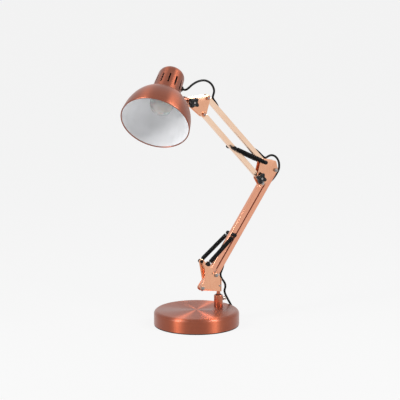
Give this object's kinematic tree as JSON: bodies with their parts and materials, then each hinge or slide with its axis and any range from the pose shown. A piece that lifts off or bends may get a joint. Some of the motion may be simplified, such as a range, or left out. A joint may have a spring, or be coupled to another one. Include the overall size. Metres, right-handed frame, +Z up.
{
  "type": "dome shade desk lamp",
  "caption": "Balanced desk lamp: domed metal shade on two jointed channel-bar arms with paired springs, on a heavy round base, with a corded plug and in-line switch.",
  "frame": {"origin": "centre of the base's underside, on the surface that the lamp stands on", "axes": "+Z up; the two arms stand in the XZ plane, with the swivel post at +X and the shade reaching towards -X; the knobs are on the -Y side"},
  "size_m": [0.4043, 0.2774, 0.5814],
  "materials": {
    "copper_base": "radially brushed copper plating on a spun steel cover",
    "copper_post": "polished copper plating on turned steel",
    "copper_sheet": "satin copper plating on folded steel sheet",
    "copper_arms": "satin copper plating on channel bars",
    "copper_shade": "brushed copper outside, matt white paint inside, on spun aluminium",
    "copper_lug": "copper plating on a turned lug",
    "copper_nuts": "copper plated nuts",
    "steel_bolts": "bright zinc plated fasteners",
    "steel_screw": "knurled plated screw",
    "zinc_plate": "plain zinc plated steel",
    "cast_weight": "rough cast iron",
    "rubber_pad": "thin black foam rubber",
    "black_plastic": "fine grained black plastic",
    "black_gloss": "smooth black plastic",
    "black_rubber": "black rubber grommet",
    "black_cord": "smooth black sheath of a round lead",
    "black_springs": "black enamelled close-wound steel springs",
    "black_steel": "blackened steel rods and studs",
    "nickel_pins": "nickel plated brass pins",
    "nickel_cap": "plain aluminium screw cap",
    "brass_contacts": "stamped brass screw shell and contact",
    "opal_glass": "opal white glass"
  },
  "bodies": {
    "base": {"base_cover": "copper_base", "base_weight": "cast_weight", "base_plate": "zinc_plate", "base_pad": "rubber_pad", "base_post": "copper_post", "post_bush": "black_plastic", "post_nut": "zinc_plate", "cord_to_switch": "black_cord", "switch_base": "black_plastic", "switch_cover": "black_plastic", "cord_coil_ends": "black_cord", "cord_coil": "black_cord", "plug_body": "black_plastic", "plug_pins": "nickel_pins"},
    "thumb_screw": {"thumb_screw": "steel_screw"},
    "switch_rocker": {"switch_rocker": "black_gloss"},
    "bracket": {"lower_bracket": "copper_sheet", "swivel_stem": "copper_post", "stem_rivet": "steel_bolts", "lower_spring_studs": "black_steel", "lower_pivot_bolts": "steel_bolts", "lower_pivot_nuts": "steel_bolts", "cord_at_bracket": "black_cord"},
    "lower_outer_bar": {"lower_outer_bar": "copper_arms", "cord_in_lower_arm": "black_cord"},
    "lower_inner_bar": {"lower_inner_bar": "copper_arms", "lower_anchor_rod": "black_steel"},
    "lower_springs": {"lower_springs": "black_springs", "lower_spring_sleeves": "black_plastic"},
    "lower_spring_tops": {"lower_anchor_sleeves": "black_plastic"},
    "elbow": {"elbow_plate_near": "copper_sheet", "elbow_plate_far": "copper_sheet", "elbow_bolts": "steel_bolts", "elbow_nuts": "steel_bolts", "cord_elbow_loop": "black_cord"},
    "elbow_knob": {"elbow_knob": "black_gloss"},
    "upper_outer_bar": {"upper_outer_bar": "copper_arms", "cord_in_upper_arm": "black_cord"},
    "upper_inner_bar": {"upper_inner_bar": "copper_arms", "upper_anchor_rod": "black_steel"},
    "upper_springs": {"upper_springs": "black_springs", "upper_spring_sleeves": "black_plastic"},
    "upper_spring_tops": {"upper_anchor_sleeves": "black_plastic"},
    "head": {"head_plate_near": "copper_sheet", "head_plate_far": "copper_sheet", "head_bolts": "steel_bolts", "head_nuts": "copper_nuts", "cord_head_loop": "black_cord"},
    "head_knob": {"head_knob": "black_gloss"},
    "lug": {"shade_lug": "copper_lug"},
    "shade": {"shade": "copper_shade", "pin_boss": "copper_lug", "swivel_pin": "steel_bolts", "cord_grommet": "black_rubber", "cord_in_shade": "black_cord", "lamp_holder": "black_plastic", "holder_strap": "zinc_plate", "holder_contacts": "brass_contacts", "bulb_glass": "opal_glass", "bulb_screw_cap": "nickel_cap"}
  },
  "joints": [
    {"name": "base_swivel", "type": "hinge", "parent": "base", "child": "bracket", "pos_m": [0.0554, 0, 0.062], "axis": [0, 0, 1], "range_deg": [-120, 120], "deforming": ["cord_to_switch"]},
    {"name": "lower_arm", "type": "hinge", "parent": "bracket", "child": "lower_outer_bar", "pos_m": [0.0456, 0, 0.109], "axis": [0, 1, 0], "range_deg": [-65, 3], "deforming": ["cord_at_bracket", "cord_elbow_loop"]},
    {"name": "lower_inner_pivot", "type": "hinge", "parent": "bracket", "child": "lower_inner_bar", "pos_m": [0.0108, 0, 0.0828], "axis": [0, 1, 0], "range_deg": [-65.5, 3.5]},
    {"name": "elbow_level", "type": "hinge", "parent": "lower_outer_bar", "child": "elbow", "pos_m": [0.19745, 0, 0.33346], "axis": [0, 1, 0], "range_deg": [-3.5, 65.5]},
    {"name": "lower_spring_foot", "type": "hinge", "parent": "bracket", "child": "lower_springs", "pos_m": [0.0194, 0, 0.139], "axis": [0, 1, 0], "range_deg": [-104.5, 5.3], "deforming": ["lower_springs"]},
    {"name": "lower_spring_top", "type": "hinge", "parent": "lower_inner_bar", "child": "lower_spring_tops", "pos_m": [0.08813, 0, 0.1971], "axis": [0, 1, 0], "range_deg": [-39.5, 2.3]},
    {"name": "upper_arm", "type": "hinge", "parent": "elbow", "child": "upper_outer_bar", "pos_m": [0.16536, 0, 0.35506], "axis": [0, 1, 0], "range_deg": [-55, 15]},
    {"name": "upper_inner_pivot", "type": "hinge", "parent": "elbow", "child": "upper_inner_bar", "pos_m": [0.15535, 0, 0.31956], "axis": [0, 1, 0], "range_deg": [-55.5, 15.5]},
    {"name": "head_level", "type": "hinge", "parent": "upper_outer_bar", "child": "head", "pos_m": [0.02434, 0, 0.50932], "axis": [0, 1, 0], "range_deg": [-15.5, 55.5]},
    {"name": "upper_spring_foot", "type": "hinge", "parent": "elbow", "child": "upper_springs", "pos_m": [0.16536, 0, 0.35506], "axis": [0, 1, 0], "range_deg": [-52.75, 14.75], "deforming": ["upper_springs"]},
    {"name": "upper_spring_top", "type": "hinge", "parent": "upper_inner_bar", "child": "upper_spring_tops", "pos_m": [0.08789, 0, 0.39337], "axis": [0, 1, 0], "range_deg": [-1.25, 3.25]},
    {"name": "shade_tilt", "type": "hinge", "parent": "head", "child": "lug", "pos_m": [-0.01476, 0, 0.50292], "axis": [0, 1, 0], "range_deg": [-45, 60], "deforming": ["cord_head_loop"]},
    {"name": "shade_swivel", "type": "hinge", "parent": "lug", "child": "shade", "pos_m": [-0.03698, 0, 0.51199], "axis": [0.9259, 0, -0.3778], "range_deg": [-54, 126]},
    {"name": "elbow_knob_turn", "type": "hinge", "parent": "elbow", "child": "elbow_knob", "pos_m": [0.15535, -0.01, 0.31956], "axis": [0, 1, 0], "range_deg": [0, 360]},
    {"name": "head_knob_turn", "type": "hinge", "parent": "head", "child": "head_knob", "pos_m": [-0.01476, -0.01, 0.50292], "axis": [0, 1, 0], "range_deg": [0, 360]},
    {"name": "thumb_screw_turn", "type": "hinge", "parent": "base", "child": "thumb_screw", "pos_m": [0.0704, 0, 0.052], "axis": [1, 0, 0], "range_deg": [0, 360]},
    {"name": "switch_press", "type": "hinge", "parent": "base", "child": "switch_rocker", "pos_m": [0.08168, 0.07748, 0.0118], "axis": [0.4756, 0.8796, 0], "range_deg": [-12, 0]}
  ],
  "couplings": [
    {"joint": "lower_inner_pivot", "follows": "lower_arm", "ratio": 1},
    {"joint": "elbow_level", "follows": "lower_arm", "ratio": -1},
    {"joint": "lower_spring_foot", "follows": "lower_arm", "ratio": 1.6},
    {"joint": "lower_spring_top", "follows": "lower_arm", "ratio": 0.6},
    {"joint": "upper_inner_pivot", "follows": "upper_arm", "ratio": 1},
    {"joint": "head_level", "follows": "upper_arm", "ratio": -1},
    {"joint": "upper_spring_foot", "follows": "upper_arm", "ratio": 0.95},
    {"joint": "upper_spring_top", "follows": "upper_arm", "ratio": -0.05}
  ]
}
